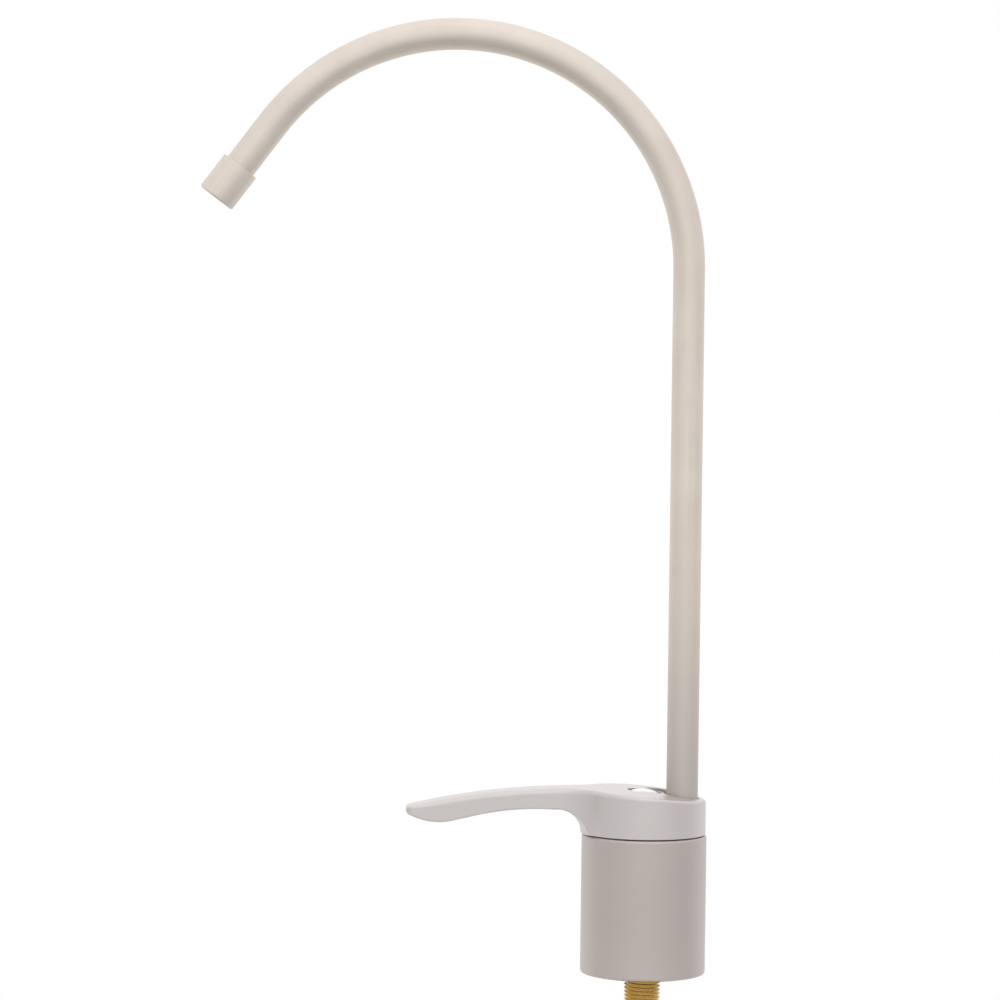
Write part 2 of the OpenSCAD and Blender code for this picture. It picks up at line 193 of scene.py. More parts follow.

# %% [markdown]
# ### Painted shade at the foot of the tube
# Just above the collar the tube takes less light, so it looks darker there. The tube could be cut
# in two with a finish for each half, but the change is gradual. So the one material fades with
# height, from a greyer tone of painted shade to the plain plate.

# %% Painted shade at the foot
SHADED_BELOW, UNSHADED_ABOVE = 60, 160  # mm above the worktop
tree = spout_plate.node_tree
place = add(tree, "ShaderNodeTexCoord").outputs["Object"]
height = add(tree, "ShaderNodeSeparateXYZ", {"Vector": place}).outputs["Z"]
limits = {"Value": height, "From Min": SHADED_BELOW * MM, "From Max": UNSHADED_ABOVE * MM}
unshaded = add(tree, "ShaderNodeMapRange", limits, interpolation_type="SMOOTHSTEP").outputs[0]
base = tree.nodes["Principled BSDF"].inputs["Base Color"]
# The greyer tone is painted shade, deepest at the tube's foot.
tones = {"Factor": unshaded, "A": linear("#cbc3bd"), "B": base.links[0].from_socket}
shade = add(tree, "ShaderNodeMix", tones, data_type="RGBA")
tree.links.new(shade.outputs["Result"], base)
print("the tube's tone changes from", SHADED_BELOW, "to", UNSHADED_ABOVE, "mm")

# %% [markdown]
# ### Bare metals
# The shank, the nut and the valve's turned parts are brass as it comes from the lathe. Steel
# washer, clip and screen are zinc plated, and the set screw is blackened. A plain colour would do
# for the hidden ones, but all of them use the same recipe, so none looks out of place when the
# tap is taken apart.

# %% Bare metals
# Turned brass: warm yellow with fairly sharp highlights and faint lathe lines round it.
finish("raw_brass", "#e3cb94", "#d6ba7c", 1.0, 0.26, 0.06, (1.1, 1.1, 0.14), 0.3)
# Zinc plated steel, tumbled: cool grey with an even, fine grain.
finish("zinc_steel", "#c3c6ca", "#b4b8bd", 1.0, 0.32, 0.06, (0.3, 0.3, 0.3), 0.2)
# Blackened steel, oiled: nearly black with a dull sheen.
finish("black_steel", "#3a3a3d", "#2c2c2f", 1.0, 0.42, 0.05, (0.25, 0.25, 0.25), 0.2)
print("metals:", ", ".join(finishes))

# %% [markdown]
# ### Rubber, ceramic and plastic
# Seals are black rubber, the valve's discs white ceramic, the bearings pale plastic, and the ring
# in the seam dark plastic. None of them is a metal, so the Metallic value is 0 and the highlight
# is white. Their moulds and grinding leave the same grain in every direction.

# %% Rubber, ceramic and plastic
# Nitrile rubber, moulded: matt black with a soft grain.
finish("seal_rubber", "#262628", "#1e1e20", 0.0, 0.62, 0.08, (0.4, 0.4, 0.4), 0.4, ior=1.52)
# Alumina, ground and lapped: warm white with a clear sheen.
finish("disc_ceramic", "#efece4", "#e6e2d8", 0.0, 0.22, 0.04, (0.5, 0.5, 0.5), 0.1, ior=1.76)
# Acetal, moulded: pale, waxy and half matt.
finish("bearing_plastic", "#e6e1d6", "#ddd7ca", 0.0, 0.45, 0.05, (0.55, 0.55, 0.55), 0.2, ior=1.48)
# Nylon, moulded: dark and half matt. Its dark tone is partly painted shade of the seam's gap, so the seam
# reads as a thin dark line.
finish("glide_plastic", "#3a3735", "#2d2a29", 0.0, 0.5, 0.05, (0.55, 0.55, 0.55), 0.2, ior=1.53)
print("finishes:", ", ".join(finishes))

# %% [markdown]
# ## Meshes
# Tube, nozzle, lever and shank get finer meshes than their CAD solids. Simple shapes with
# modifiers could come near them, but points worked out from the drawing's sizes stay exactly on
# the solids. The points are in millimetres and become metres once. Edges that bend by less than
# 28 degrees are shaded smooth and the others stay crisp, as they are on plated metal.

# %% Mesh helper
CRISP = math.radians(28)
WELD = 2e-6  # metres, points closer than this become one


def smooth_mesh(name, points, faces, unbent):
    """Makes a mesh from points in mm; unbent says where they lay before the piece was bent."""
    mesh = bpy.data.meshes.new(name)
    mesh.from_pydata([tuple(c * MM for c in p) for p in points], [], faces)
    work = bmesh.new()
    work.from_mesh(mesh)
    if unbent:
        layout = work.verts.layers.float_vector.new("unbent")
        for vert, spot in zip(work.verts, unbent):
            vert[layout] = Vector(spot) * MM
    bmesh.ops.remove_doubles(work, verts=work.verts, dist=WELD)
    bmesh.ops.recalc_face_normals(work, faces=work.faces)
    for face in work.faces:
        face.smooth = True
    for edge in work.edges:
        edge.smooth = len(edge.link_faces) == 2 and edge.calc_face_angle(0.0) < CRISP
    loose = sum(len(edge.link_faces) != 2 for edge in work.edges)
    work.to_mesh(mesh)
    work.free()
    print(name, "faces:", len(mesh.polygons), "open edges:", loose)
    return mesh


print("smooth below", round(math.degrees(CRISP)), "degrees")

# %% [markdown]
# A finished mesh takes the place of its CAD node. It could stand beside the hidden node as a
# mere decoration, but then it would stay behind when the tap moves. So it rides on the node's
# body and carries the node's finish.

# %% Piece helper


def piece(name, points, faces, node, slot, body, unbent=None):
    mesh = smooth_mesh(name, points, faces, unbent)
    mesh.materials.append(finishes[slot])
    made = bpy.data.objects.new(name, mesh)
    bpy.context.scene.collection.objects.link(made)
    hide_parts(node)
    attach(made, body)
    return made


print("a piece takes one of", len(finishes), "finishes")

# %% [markdown]
# Most of these surfaces are rows of points joined by quads, like hoops joined into a barrel, and
# most outlines are made of arcs. These two helpers make both.

# %% Rows and arcs


def bands(rows, count, closed):
    """Quads between rows of count points each; closed joins the last row to the first."""
    faces = []
    for a in range(rows if closed else rows - 1):
        for i in range(count):
            j, b = (i + 1) % count, (a + 1) % rows
            faces.append((a * count + i, a * count + j, b * count + j, b * count + i))
    return faces


def arc(cx, cy, r, start, end, steps):
    """Points on an arc round (cx, cy) between two angles in degrees."""
    turn = np.radians(np.linspace(start, end, steps + 1))
    return [(cx + r * math.cos(t), cy + r * math.sin(t)) for t in turn]


print("two hoops of 8 points:", len(bands(2, 8, False)), "faces")

# %% [markdown]
# ### Spout tube
# On the real tap this is one drawn tube, bent round a former: straight up from the body, a bend
# of 143 degrees, then a short straight into the nozzle. A curve with a round bevel would make it
# quickly, but its ends would be open or capped, with no wall to see. Here rings of points follow
# the centre line, outside first and back along the bore, so the wall is real at both ends.

# %% Centre line of the tube
TUBE_R, TUBE_WALL = 5.7, 1.0
SPOUT_Y, TUBE_FOOT = 13.5, 40.2
BEND_R, BEND_Z, SWEEP = 83.5, 253.3, 143.0
LEAD, TUBE_IN = 18.7, 6.0  # straight before the nozzle, and inside it
RISE_RINGS, BEND_RINGS, LEAD_RINGS = 24, 145, (6, 12, LEAD, LEAD + TUBE_IN)


def outwards(turn):
    """Direction from the bend's centre to the tube."""
    return np.array([0, math.cos(turn), math.sin(turn)])


last_turn = math.radians(SWEEP)
flow = np.array([0, -math.sin(last_turn), math.cos(last_turn)])
bend_at = np.array([0, SPOUT_Y - BEND_R, BEND_Z])
bend_end = bend_at + BEND_R * outwards(last_turn)
line = [(np.array([0, SPOUT_Y, z]), 0.0) for z in np.linspace(TUBE_FOOT, BEND_Z, RISE_RINGS)[:-1]]
turns = np.radians(np.linspace(0, SWEEP, BEND_RINGS))
line += [(bend_at + BEND_R * outwards(t), t) for t in turns]
line += [(bend_end + flow * s, last_turn) for s in LEAD_RINGS]
gaps = [np.linalg.norm(b[0] - a[0]) for a, b in zip(line, line[1:])]
along = np.cumsum([0.0] + gaps)
print("tube length:", round(float(along[-1]), 1), "mm, rings:", len(line))

# %% [markdown]
# The brush lines of the tube bend with it. Object coordinates would run straight through the bend,
# so each point also keeps the place that it had on the straight tube, and the finish reads that.

# %% Tube
TUBE_STEPS = 64


def tube_ring(centre, turn, r):
    """Ring of points square to the centre line."""
    spin = np.linspace(0, 2 * math.pi, TUBE_STEPS, endpoint=False)
    sideways = np.array([1, 0, 0])
    return [centre + r * (math.cos(a) * outwards(turn) + math.sin(a) * sideways) for a in spin]


bent, straight = [], []
for r, way in ((TUBE_R, 1), (TUBE_R - TUBE_WALL, -1)):
    for (centre, turn), s in list(zip(line, along))[::way]:
        bent += tube_ring(centre, turn, r)
        straight += tube_ring(np.array([0, 0, s]), 0.0, r)
piece("spout_tube_smooth", bent, bands(2 * len(line), TUBE_STEPS, True),
      "spout_tube", "spout_nickel", "spout", straight)

# %% [markdown]
# ### Nozzle
# A turned sleeve, pressed over the tube's end, with a rounded mouth and a lip inside that holds
# the insert. A cylinder with bevels would need its stepped bore cut out. A lathe makes the sleeve
# from one half outline, and so does this cell: the outline is turned round the axis of the flow.

# %% Outline of the nozzle
NOZZLE_R, NOZZLE_LEN, NOZZLE_BORE = 7.1, 14.5, 5.73
LIP_R, LIP_H = 5.05, 1.2
BACK_EDGE, MOUTH_EDGE, LIP_EDGE = 0.25, 0.85, 0.3  # radii of the rounded edges
half = [(NOZZLE_BORE, 0.0), (NOZZLE_R - BACK_EDGE, 0.0)]
half += arc(NOZZLE_R - BACK_EDGE, BACK_EDGE, BACK_EDGE, -90, 0, 4)
half += arc(NOZZLE_R - MOUTH_EDGE, NOZZLE_LEN - MOUTH_EDGE, MOUTH_EDGE, 0, 90, 10)
half += arc(LIP_R + LIP_EDGE, NOZZLE_LEN - LIP_EDGE, LIP_EDGE, 90, 180, 4)
half += [(LIP_R, NOZZLE_LEN - LIP_H), (NOZZLE_BORE, NOZZLE_LEN - LIP_H)]
print("half outline of the nozzle:", len(half), "points")

# %% [markdown]
# The sleeve was brushed along its length like the tube and is not bent, so its place on the
# straight piece is simply the one before it is turned towards the flow.

# %% Nozzle
NOZZLE_STEPS = 96
across = np.array([1.0, 0, 0])
up = np.cross(flow, across)
points, straight = [], []
for r, s in half:
    for a in np.linspace(0, 2 * math.pi, NOZZLE_STEPS, endpoint=False):
        x, y = r * math.cos(a), r * math.sin(a)
        points.append(bend_end + flow * (LEAD + s) + x * across + y * up)
        straight.append((x, y, s))
piece("outlet_nozzle_smooth", points, bands(len(half), NOZZLE_STEPS, True),
      "outlet_nozzle", "spout_nickel", "spout", straight)

# %% [markdown]
# ### Lever and collar
# On the real tap these are one casting. Its top is a single long curve from the tip to the back of
# the collar, a little crowned across. Its underside is a long hollow, a belly under the finger and
# a blunt nose, and the cove at its root follows the round collar. It could be sculpted, or a rough
# cage could be subdivided, but both would drift off the drawing. So two rules say how high the top
# and the underside lie over any spot, and the mesh is laid between them.

# %% Height of the lever's top
CROWN_Y, CROWN_Z, TOP_R, SIDE_R = -24.0, 66.9, 258.0, 800.0


def arch(y, mid, high, r):
    """Height at y of a round arch that is highest at mid."""
    return high - r + math.sqrt(r * r - (y - mid) ** 2)


def top_z(x, y):
    """Height of the top: an arch along the lever that carries a flat arch across it."""
    return arch(x, 0, arch(y, CROWN_Y, CROWN_Z, TOP_R), SIDE_R)


print("top over the lever's axis:", round(top_z(0, 0), 2), "mm")

# %% [markdown]
# The underside is drawn as it is seen from the side: hollow, belly and nose, one after another
# from the root to the tip. The cove is a ring round the collar, so it is a rule of its own.

# %% Height of the lever's underside
COLLAR_Z, TIP_Y = 50.55, -86.0
COVE_AT, COVE_Z, COVE_R = 31.9, 50.2, 9.0
HOLLOW_Y, HOLLOW_Z, HOLLOW_R, HOLLOW_END = -38.0, 59.3, 100.0, -60
BELLY_Y, BELLY_Z, BELLY_R = -74.1, CROWN_Z + 9.2, 22.0
NOSE_LOW, NOSE_HIGH, NOSE_CUT = CROWN_Z - 10.1, CROWN_Z - 9.2, 0.9
hollow = np.linspace(-COVE_AT, HOLLOW_END, 20)
under = [(y, arch(y, HOLLOW_Y, HOLLOW_Z, HOLLOW_R)) for y in hollow]
under += arc(BELLY_Y, BELLY_Z, BELLY_R, -77, -109, 12)
under += [(TIP_Y + NOSE_CUT, NOSE_LOW), (TIP_Y, NOSE_HIGH)]
under = np.array(under[::-1])


def bottom_z(x, y):
    """Height of the underside: side outline or collar, or the cove where that is higher."""
    flat = float(np.interp(y, under[:, 0], under[:, 1])) if y < -COVE_AT else COLLAR_Z
    off = abs(math.hypot(x, y) - COVE_AT)
    return max(flat, COVE_Z + math.sqrt(COVE_R ** 2 - off ** 2)) if off < COVE_R else flat


print("lever's thickness half way:", round(top_z(0, TIP_Y / 2) - bottom_z(0, TIP_Y / 2), 2), "mm")

# %% [markdown]
# A linished casting has no sharp edges, and this one's edges change along the lever: full where
# the hand lies, tighter at the tip, and nearly crisp at the collar's lower edge, where it meets
# the body. A bevel modifier would need a weight on every edge, so three rules give the rounding
# at each place instead, in millimetres.

# %% Roundings of the lever


def ease(value, start, end):
    """Rises smoothly from 0 at start to 1 at end."""
    part = min(max((value - start) / (end - start), 0), 1)
    return part * part * (3 - 2 * part)


def soft(y):
    """Width of the top edge's rounding: a little more along the lever, less at its tip."""
    return 0.9 + 0.2 * ease(y, 8, -16) - 0.3 * ease(y, -79, -86)


def deep(y):
    """How far the top edge's rounding reaches down: more along the lever, whose sides are full."""
    return soft(y) + 0.8 * ease(y, 10, -20) * (1 - ease(y, -74, -86))


def low_soft(y):
    """Radius of the lower edge: a hair at the collar, larger along the lever."""
    return 0.08 + 0.47 * ease(y, -23, -28) - 0.3 * ease(y, -80, -86)


for y in (0, -40, TIP_Y):
    print("rounding at", y, "mm:", round(soft(y), 2), round(deep(y), 2), round(low_soft(y), 2))

# %% [markdown]
# Seen from above, the lever runs into the round collar through two hollow blends. The outline
# could be drawn as a curve by hand, but arcs that touch each other give even highlights. It starts
# at the tip and runs up the right side: tip corner, side, blend, collar. The left side mirrors it.

# %% Outline of the lever
COLLAR_R, CORNER = 22.1, 3
ARM, TIP, FLARE = 6.5, 6.0, 17.0  # half width at the root and at the tip, radius of the blends
flare_x = ARM + FLARE
flare_y = -math.sqrt((COLLAR_R + FLARE) ** 2 - flare_x ** 2)
side_from = TIP_Y + CORNER
meet = math.degrees(math.atan2(-flare_y, -flare_x))
right = [(0.0, TIP_Y), (CORNER / 2, TIP_Y)]
right += arc(TIP - CORNER, side_from, CORNER, -90, 0, 10)
for f in np.linspace(0.03, 0.97, 30):
    right.append((TIP + (ARM - TIP) * f, side_from + (flare_y - side_from) * f))
right += arc(flare_x, flare_y, FLARE, 180, meet, 40)
right += arc(0, 0, COLLAR_R, meet - 180, 90, 84)[1:]
outline = np.array(right + [(-x, y) for x, y in right[-2:0:-1]])
print("outline of the lever:", len(outline), "points")

# %% [markdown]
# The spout stands still while the lever swings, so the collar has a slot for it: a part of a ring
# round the lever's axis, with round ends. It could be cut out afterwards, but as a second outline
# it can have a rounded edge like the first.

# %% Outline of the slot
SLOT_W, SLOT_TO = 6.3, 150  # half width, and the angle of the far end
slot_in, slot_out = SPOUT_Y - SLOT_W, SPOUT_Y + SLOT_W
end_x, end_y = arc(0, 0, SPOUT_Y, SLOT_TO, SLOT_TO, 0)[0]
slot = arc(0, 0, slot_out, 90, SLOT_TO, 30)
slot += arc(end_x, end_y, SLOT_W, SLOT_TO, SLOT_TO + 180, 28)[1:]
slot += arc(0, 0, slot_in, SLOT_TO, 90, 18)[1:]
slot += arc(0, SPOUT_Y, SLOT_W, -90, 90, 28)[1:-1]
slot = np.array(slot)
print("outline of the slot:", len(slot), "points")

# %% [markdown]
# The wall under each outline runs from the lower rounded edge to the upper one. Each edge is a
# quarter round: rings that step inwards as they near the top or the underside. One more ring just
# outside the quarter holds the flat wall's shading.

# %% Walls of the lever
HOLD = 1.15  # where the holding ring lies, in depths of the rounding
EDGE_STEPS = 10
points, faces = [], []


def inward(loop):
    """Unit normals on the left of a closed loop's direction."""
    way = np.roll(loop, -1, 0) - np.roll(loop, 1, 0)
    way /= np.linalg.norm(way, axis=1)[:, None]
    return np.c_[-way[:, 1], way[:, 0]]


def rounded_wall(loop, normals, low, high, tall):
    """Adds the wall of a loop between two rounded edges; returns its lowest and its highest ring."""
    first, count = len(points), len(loop)
    quarter = np.linspace(0, math.pi / 2, EDGE_STEPS + 1)
    curve = [(0.0, HOLD)] + [(1 - math.cos(t), 1 - math.sin(t)) for t in quarter]
    for wide, reach, height, way in ((low, low, bottom_z, -1), (high, tall, top_z, 1)):
        for inset, drop in curve[::way]:
            for (x, y), (nx, ny), w, d in zip(loop, normals, wide, reach):
                px, py = x + nx * w * inset, y + ny * w * inset
                points.append((px, py, height(px, py) - way * d * drop))
    faces.extend(tuple(first + i for i in f) for f in bands(2 * len(curve), count, False))
    flat = np.array(points[first:])[:, :2]
    return flat[:count], flat[-count:]


ys = outline[:, 1]
low_outer, top_outer = rounded_wall(outline, inward(outline), [low_soft(y) for y in ys],
                                    [soft(y) for y in ys], [deep(y) for y in ys])
RIM, BURR = 0.5, 0.1  # roundings of the slot's upper and lower edge
rim, burr = [RIM] * len(slot), [BURR] * len(slot)
low_hole, top_hole = rounded_wall(slot, -inward(slot), burr, rim, rim)
print("walls of the lever:", len(faces), "faces")

# %% [markdown]
# Between the outline and the slot, the top and the underside are filled with triangles. One large
# n-gon could close each, but it would be flat or fold at random. A Delaunay fill takes loose
# points and fixed lines inside the area as well, and each point is then set to its height.

# %% Fill helpers


def inside(loop, p):
    """Tells whether p lies within a closed loop, by counting the edges on one side of it."""
    x, y = loop[:, 0], loop[:, 1]
    x2, y2 = np.roll(x, -1), np.roll(y, -1)
    cross = (y > p[1]) != (y2 > p[1])
    hit = x + (p[1] - y) * (x2 - x) / np.where(y2 == y, 1e-9, y2 - y)
    return bool(np.sum(cross & (p[0] < hit)) % 2)


def clear_of(loop, p, gap):
    return np.linalg.norm(loop - p, axis=1).min() > gap


def fill(outer, hole, extra, links, height):
    """Fills the area between two loops with triangles set at the given height."""
    flat = [Vector(p) for p in np.vstack([outer, hole])]
    edges = [(i, (i + 1) % len(outer)) for i in range(len(outer))]
    edges += [(len(outer) + i, len(outer) + (i + 1) % len(hole)) for i in range(len(hole))]
    edges += [(len(flat) + a, len(flat) + b) for a, b in links]
    flat += [Vector(p) for p in extra]
    made, _, tris, _, _, _ = delaunay_2d_cdt(flat, edges, [], 0, 1e-4)
    first = len(points)
    points.extend((p.x, p.y, height(p.x, p.y)) for p in made)
    for tri in tris:
        mid = np.mean([made[i] for i in tri], axis=0)
        if inside(outer, mid) and not inside(hole, mid):
            faces.append(tuple(first + i for i in tri))


print("the collar's middle is inside the outline:", inside(outline, (0, 0)))

# %% [markdown]
# The top is smooth, so an even grid of points is enough for it, kept a little away from the edges
# so that no triangle becomes a sliver.

# %% Top of the lever
GRID, GRID_SIDE, GRID_TIP = 2.5, 20, -83
EDGE_GAP, SLOT_GAP = 3.2, 2.0
grid_x = np.arange(-GRID_SIDE, GRID_SIDE + 1, GRID)
grid_y = np.arange(GRID_TIP, GRID_SIDE + 1, GRID)
grid = [(x, y) for x in grid_x for y in grid_y]
keep = [p for p in grid if inside(outline, p) and not inside(slot, p)]
keep = [p for p in keep if clear_of(outline, p, EDGE_GAP) and clear_of(slot, p, SLOT_GAP)]
fill(top_outer, top_hole, keep, [], top_z)
print("points on the lever's top:", len(keep))

# %% [markdown]
# The underside bends more. Rows across the lever follow its side outline, and arcs round the
# collar follow the cove, so that each facet lies along the curve and not over it.

# %% Underside of the lever
ROW_SIDE, ROW_POINTS, ROW_GAP = 16, 33, 0.3
COVE_ROWS = np.linspace(0.02, 1.66, 16)  # angles round the cove's own centre, in radians
runs = [[(x, y) for x in np.linspace(-ROW_SIDE, ROW_SIDE, ROW_POINTS)] for y in under[1:-1, 0]]
for a in COVE_ROWS:
    runs.append(arc(0, 0, COVE_AT - COVE_R * math.cos(a), -130, -50, 60))
rows, links = [], []
for run in runs:
    run = [p for p in run if inside(low_outer, p) and clear_of(low_outer, p, ROW_GAP)]
    links += [(len(rows) + i, len(rows) + i + 1) for i in range(len(run) - 1)]
    rows += run
rows += [p for p in keep if p[1] > -GRID_SIDE]
fill(low_outer, low_hole, rows, links, bottom_z)
lever = piece("lever_smooth", points, faces, "lever_handle", "lever_nickel", "lever")

# %% [markdown]
# ### Holes of the lever
# The casting is drilled: a bore for the spindle from below, a hole for the set screw from the
# front, and a seat for the cap with a groove round it from above. The holes could be part of the
# fills, but three of them meet curved faces at a slant. Boolean cutters find those edges by
# themselves, and they are thrown away afterwards.

# %% Drill helpers
DRILL_STEPS = 96


def drill(target, length, radius, place):
    bpy.ops.mesh.primitive_cylinder_add(vertices=DRILL_STEPS, radius=radius * MM, depth=length * MM)
    cutter = bpy.context.object
    cutter.matrix_world = place
    cut = target.modifiers.new("drill", "BOOLEAN")
    cut.object, cut.solver = cutter, "EXACT"
    bpy.context.view_layer.update()
    graph = bpy.context.evaluated_depsgraph_get()
    done = bpy.data.meshes.new_from_object(target.evaluated_get(graph))
    target.modifiers.clear()
    target.data = done
    bpy.data.objects.remove(cutter)


def tilted(y, z, tilt, shift):
    """Place of a cutter that leans about x and is then shifted along its own axis."""
    lean = Matrix.Rotation(tilt, 4, "X") @ Matrix.Translation((0, 0, shift * MM))
    return Matrix.Translation((0, y * MM, z * MM)) @ lean


print("facets of a drilled hole:", DRILL_STEPS)

# %% [markdown]
# The cap's seat and its groove lean with the crowned top, so they are equally deep all round. A
# cutter stands out of the metal at one end, because two faces in one plane upset a boolean.

# %% Drill the lever
BORE_R, BORE_DEEP = 4.05, 11.53
SEAT_R, SEAT_DEEP = 4.85, 1.6
GROOVE_R, GROOVE_DEEP = 6.3, 1.0
SCREW_R, SCREW_Z, SCREW_Y, SCREW_LONG = 2.0, 54.05, -20, 40
CUTTER = 6
cap_tilt = -math.asin(-CROWN_Y / TOP_R)
drill(lever, 2 * BORE_DEEP, BORE_R, tilted(0, COLLAR_Z, 0, 0))
drill(lever, CUTTER, SEAT_R, tilted(0, top_z(0, 0), cap_tilt, CUTTER / 2 - SEAT_DEEP))
drill(lever, CUTTER, GROOVE_R, tilted(0, top_z(0, 0), cap_tilt, CUTTER / 2 - GROOVE_DEEP))
drill(lever, SCREW_LONG, SCREW_R, tilted(SCREW_Y, SCREW_Z, math.pi / 2, 0))
print("lever faces after drilling:", len(lever.data.polygons))

# %% [markdown]
# ### Shank
# A brass stud with a G1/4 pipe thread, so its ridge climbs one pitch a turn. A screw modifier
# could sweep the ridge, but would leave the thread open at both ends. Here the thread is a stack
# of rings whose heights fall as they go round, and the end of each ring is joined to the start of
# the one a turn below. The ridge fades in under the foot and out at the lower end.

# %% Rings of the thread
PITCH, CREST, ROOT = 1.337, 6.5785, 5.7225
SHANK, TURNS, STEPS = 60.0, 43, 48
START, FADE_IN, FADE_OUT = -0.3, 0.8, 1.2
LAST, OUT_BY = 0.5, 0.6  # lowest point of the thread, and where its ridge is gone, above the end
ridge = [(ROOT, 0.0), (ROOT + 0.1, 0.06), (CREST - 0.1, 0.40), (CREST, 0.46)]
ridge += [(CREST, 0.54), (CREST - 0.1, 0.60), (ROOT + 0.1, 0.94)]


def thread_ring(turn, r, f):
    """One ring, a share f of a pitch down its turn, as pairs of radius and height."""
    made = []
    for i in range(STEPS):
        z = START - PITCH * (turn + f + i / STEPS)
        begun = min(max((START - z) / FADE_IN, 0), 1)
        left = min(max((z + SHANK - OUT_BY) / FADE_OUT, 0), 1)
        made.append((ROOT + (r - ROOT) * begun * left, max(z, LAST - SHANK)))
    return made


thread = [thread_ring(turn, r, f) for turn in range(TURNS) for r, f in ridge]
print("thread rings:", len(thread))

# %% [markdown]
# Above the thread a plug sits in the body. Below it come the chamfered end, the socket for the
# hose and the way up through the shank. These are plain level rings.

# %% Rings of the shank
WAY, SOCKET, SOCKET_DEEP = 3.5, 4.46, 12
PLUG_TOP, PLUG_FOOT, CHAMFER, SOCKET_EDGE = 1.5, 0.2, 0.45, 0.3
above = [(ROOT, PLUG_TOP), (ROOT, PLUG_FOOT)]
below = [(ROOT, CHAMFER), (ROOT - CHAMFER, 0), (SOCKET + SOCKET_EDGE, 0), (SOCKET, SOCKET_EDGE)]
below += [(SOCKET, SOCKET_DEEP), (WAY, SOCKET_DEEP), (WAY, SHANK + PLUG_TOP)]
rows = [[spot] * STEPS for spot in above] + thread
rows += [[(r, h - SHANK)] * STEPS for r, h in below]
points = []
for row in rows:
    for i, (r, z) in enumerate(row):
        a = 2 * math.pi * i / STEPS
        points.append((-r * math.cos(a), -r * math.sin(a), z))
print("shank rings:", len(rows))

# %% [markdown]
# Quads join all rings, except across the line where a turn ends. There each ring's last point is
# joined to the first point one turn below, and two larger faces close the thread's start and end.

# %% Shank
last, turn, low = STEPS - 1, len(ridge), 1 + len(thread)
faces = []
for k, quad in enumerate(bands(len(rows), STEPS, True)):
    if k % STEPS != last or not 1 <= k // STEPS <= low:
        faces.append(quad)


def corner(row, column):
    return row * STEPS + column


for a in range(2, low - turn):
    faces.append((corner(a, last), corner(a + turn, 0), corner(a + turn + 1, 0), corner(a + 1, last)))
opening = [corner(a, 0) for a in range(1, 3 + turn)]
closing = [corner(a, last) for a in range(low - turn, low + 2)]
faces.append([corner(1, last)] + opening + [corner(2, last)])
faces.append([corner(low + 1, 0), corner(low, 0)] + closing)
piece("shank_thread", points, faces, "threaded_shank", "raw_brass", "body")

# %% [markdown]
# ## Finishes on the CAD nodes
# All other pieces keep their CAD solids, as a turned or moulded part needs no finer mesh. Each
# could be given its finish by name, but the record already says which slot a piece has.

# %% Dress the nodes
for entry in frame["record"]["subparts"]:
    shown = frame["nodes"][entry["node"]]
    shown.data.materials.clear()
    shown.data.materials.append(finishes[entry["material_slot"]])

# %% [markdown]
# ## Floor
# A tap on its own would seem to float. A round pale sheet under the shank catches its shadow. A
# large backdrop would need a horizon to be hidden, so the sheet fades out into the white instead,
# by a mix with a transparent shader that grows with the distance from its middle.

# %% Floor
FLOOR_R, FADE_FROM = 0.17, 0.05  # metres
floor_z = cad_box[0][2]
bpy.ops.mesh.primitive_circle_add(vertices=96, radius=FLOOR_R, fill_type="NGON", location=(0, 0, floor_z))
floor = bpy.context.object
floor.name = "floor"
# White paper, calendered: matt and almost without grain.
paper = finish("floor_paper", "#f7f6f4", "#f1f0ee", 0.0, 0.8, 0.05, (3.0, 3.0, 3.0), 0.05)
tree = paper.node_tree
place = add(tree, "ShaderNodeTexCoord").outputs["Object"]
reach = add(tree, "ShaderNodeVectorMath", {0: place}, operation="LENGTH").outputs["Value"]
limits = {"Value": reach, "From Min": FADE_FROM, "From Max": FLOOR_R}
fade = add(tree, "ShaderNodeMapRange", limits, interpolation_type="SMOOTHSTEP").outputs[0]
opaque = tree.nodes["Principled BSDF"].outputs[0]
clear = add(tree, "ShaderNodeBsdfTransparent").outputs[0]
blend = add(tree, "ShaderNodeMixShader", {0: fade, 1: opaque, 2: clear})
tree.links.new(blend.outputs[0], tree.nodes["Material Output"].inputs["Surface"])
floor.data.materials.append(paper)
print("floor:", round(2 * FLOOR_R / MM), "mm across")

# %% [markdown]
# ## Surround
# Metal shows what stands round it, so the surround matters more than the lamps. A photographer
# would hang a white tent round the tap. A world shader can be that tent without any mesh: white
# overhead, greyer towards the ground, and a little dimmer to the left and right, which gives the
# round pieces their darker edges.

# %% Tent
GROUND, SKY, SKY_FROM = 0.38, 1.02, 0.25
world = bpy.data.worlds.new("studio")
bpy.context.scene.world = world
world.use_nodes = True
tree = world.node_tree
place = add(tree, "ShaderNodeTexCoord").outputs["Generated"]
split = add(tree, "ShaderNodeSeparateXYZ", {"Vector": place})
limits = {"Value": split.outputs["Z"], "From Min": -1.0, "From Max": SKY_FROM}
limits.update({"To Min": GROUND, "To Max": SKY})
tent = add(tree, "ShaderNodeMapRange", limits, interpolation_type="SMOOTHSTEP").outputs[0]
for way, dim in ((-1, 0.9), (1, 0.87)):
    limits = {"Value": split.outputs["Y"], "From Min": 0.5 * way, "From Max": way}
    limits.update({"To Min": 1.0, "To Max": dim})
    flank = add(tree, "ShaderNodeMapRange", limits, interpolation_type="SMOOTHSTEP").outputs[0]
    tent = add(tree, "ShaderNodeMath", {0: tent, 1: flank}, operation="MULTIPLY").outputs[0]
print("tent: ground", GROUND, "sky", SKY)

# %% [markdown]
# The camera sees plain white behind the tap. A brighter lamp or a white wall would also light the
# tap too much, so the world answers the camera's own rays with white. Rays that the metal sends on
# past the tap, away from the camera, see that white background as well.

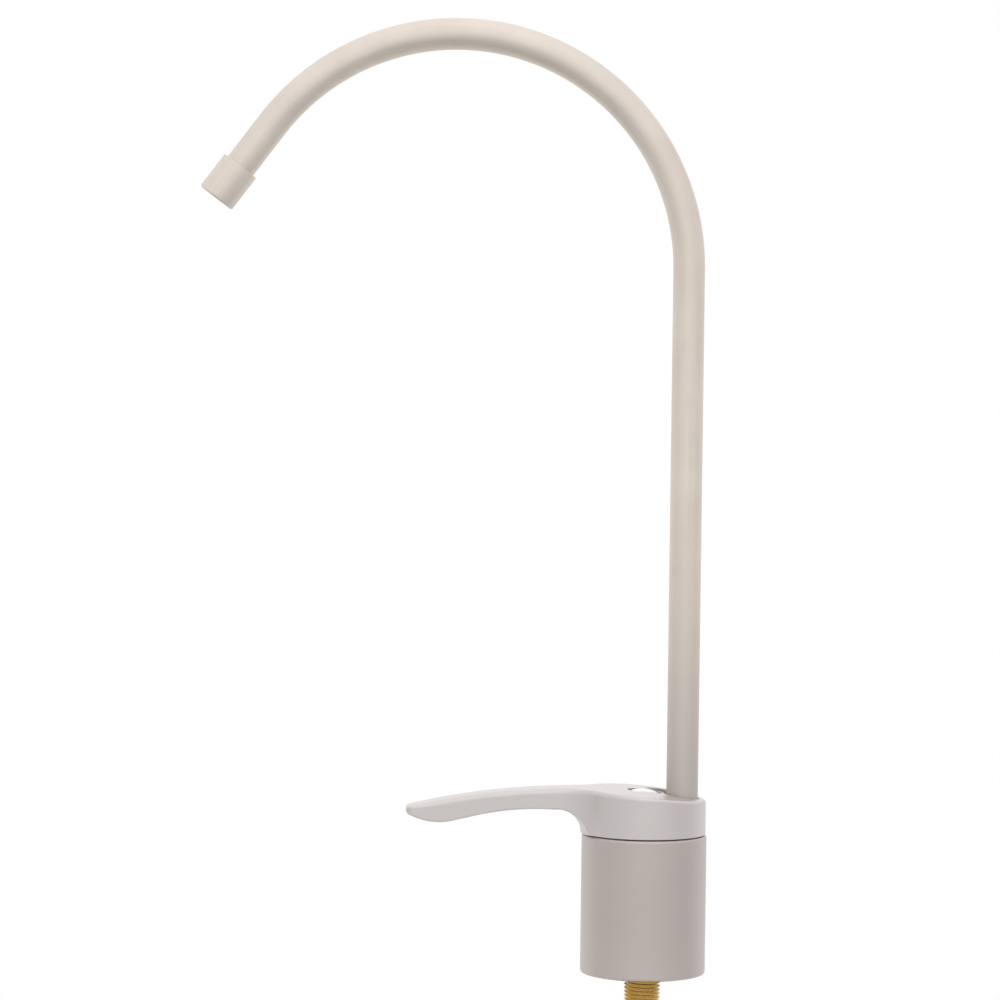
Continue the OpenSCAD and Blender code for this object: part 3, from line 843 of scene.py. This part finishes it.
# %% White background
limits = {"Value": split.outputs["X"], "From Min": -0.05, "From Max": -0.7}
behind = add(tree, "ShaderNodeMapRange", limits, interpolation_type="SMOOTHSTEP").outputs[0]
ray = add(tree, "ShaderNodeLightPath").outputs
kinds = {0: ray["Is Glossy Ray"], 1: ray["Is Transmission Ray"]}
mirror = add(tree, "ShaderNodeMath", kinds, operation="MAXIMUM").outputs[0]
seen = add(tree, "ShaderNodeMath", {0: behind, 1: mirror}, operation="MULTIPLY").outputs[0]
white = add(tree, "ShaderNodeMath", {0: seen, 1: ray["Is Camera Ray"]}, operation="MAXIMUM").outputs[0]
level = add(tree, "ShaderNodeMapRange", {"Value": white, "To Min": tent, "To Max": 1.0}).outputs[0]
sky = tree.nodes["Background"]
tree.links.new(level, sky.inputs["Color"])
sky.inputs["Strength"].default_value = 1.0
print("world nodes:", len(tree.nodes))

# %% [markdown]
# ## Lights
# The tent alone lights everything evenly. Three large softboxes add some direction: one overhead,
# one beside the camera, and one behind the tap that brightens the faces that look up. Small lamps
# would give hard spots on satin metal, so these are about a metre wide and weak.

# %% Lights


def softbox(name, place, aim, size, power):
    data = bpy.data.lights.new(name, "AREA")
    data.shape, data.size, data.energy = "SQUARE", size, power
    made = bpy.data.objects.new(name, data)
    made.location = place
    made.rotation_euler = (Vector(aim) - Vector(place)).to_track_quat("-Z", "Y").to_euler()
    bpy.context.scene.collection.objects.link(made)
    print(name, "size:", size, "m, power:", power, "W")


softbox("top light", (0.1, 0.0, 1.6), (0, 0, 0), 2.0, 2.5)
softbox("front light", (1.5, -0.05, 0.8), (0, -0.05, 0.2), 1.3, 1.2)
softbox("back light", (-1.5, -0.05, 1.0), (0, -0.05, 0.1), 1.0, 1.0)

# %% [markdown]
# ## Camera
# The tap is seen from its right side through a long lens, a little above its middle and rolled by
# less than a degree. A camera could be turned by three angles, but a point to look at is easier to
# judge, and the roll is then added about the line of sight.

# %% Camera
EYE, LOOK_AT = Vector((1.3, -0.0534, 0.2058)), Vector((0, -0.0534, 0.1699))
ROLL = math.radians(0.7)
camera = bpy.data.cameras.new("camera")
camera.lens, camera.sensor_width = 130.2, 36.0
camera.clip_end = 50
eye = bpy.data.objects.new("camera", camera)
bpy.context.scene.collection.objects.link(eye)
eye.location = EYE
eye.rotation_mode = "QUATERNION"
roll = Matrix.Rotation(ROLL, 3, "Z").to_quaternion()
eye.rotation_quaternion = (LOOK_AT - EYE).to_track_quat("-Z", "Y") @ roll
bpy.context.scene.camera = eye
bpy.context.scene.view_settings.view_transform = "Standard"
print("camera:", round((LOOK_AT - EYE).length, 3), "m away, lens", round(camera.lens, 1), "mm")
